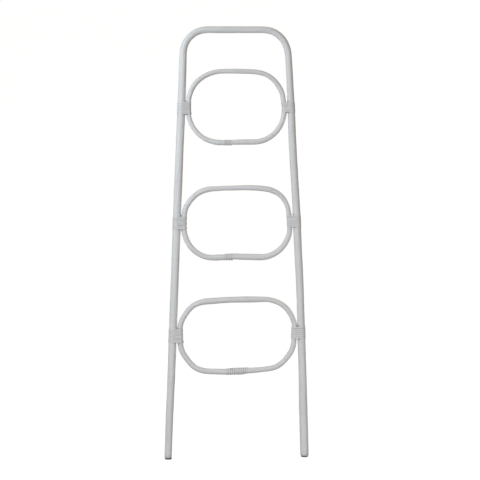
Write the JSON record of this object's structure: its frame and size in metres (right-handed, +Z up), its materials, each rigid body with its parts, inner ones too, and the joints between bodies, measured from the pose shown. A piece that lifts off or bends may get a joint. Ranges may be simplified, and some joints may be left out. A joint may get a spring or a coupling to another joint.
{
  "type": "quilt ladder",
  "caption": "Leaning quilt and blanket ladder of white-painted rattan cane: a bent inverted-U pole with oval cane hoops lashed between its spreading legs.",
  "frame": {"origin": "on the floor, at the bottom centre of the bounding box, midway between the two feet", "axes": "+Z up the ladder, +X to the right seen from the front, +Y to the back, towards the wall it leans on; the ladder lies in the XZ plane, drawn upright"},
  "size_m": [0.5027, 0.0314, 1.5],
  "materials": {
    "painted_cane": "white satin paint over smooth rattan cane",
    "painted_peel": "white satin paint over wound rattan peel",
    "steel": "plain wire steel",
    "rubber": "matt dark grey"
  },
  "bodies": {
    "root": {"frame_pole": "painted_cane", "top_hoop": "painted_cane", "middle_hoop": "painted_cane", "bottom_hoop": "painted_cane", "top_left_lashing": "painted_peel", "top_right_lashing": "painted_peel", "middle_left_lashing": "painted_peel", "middle_right_lashing": "painted_peel", "bottom_left_lashing": "painted_peel", "bottom_right_lashing": "painted_peel", "top_splice_wrap": "painted_peel", "middle_splice_wrap": "painted_peel", "bottom_splice_wrap": "painted_peel", "top_left_joint_screw": "steel", "top_right_joint_screw": "steel", "middle_left_joint_screw": "steel", "middle_right_joint_screw": "steel", "bottom_left_joint_screw": "steel", "bottom_right_joint_screw": "steel", "top_splice_pins": "steel", "middle_splice_pins": "steel", "bottom_splice_pins": "steel", "binding_tacks": "steel", "left_foot_nail": "steel", "right_foot_nail": "steel", "left_foot_pad": "rubber", "right_foot_pad": "rubber"}
  },
  "joints": []
}
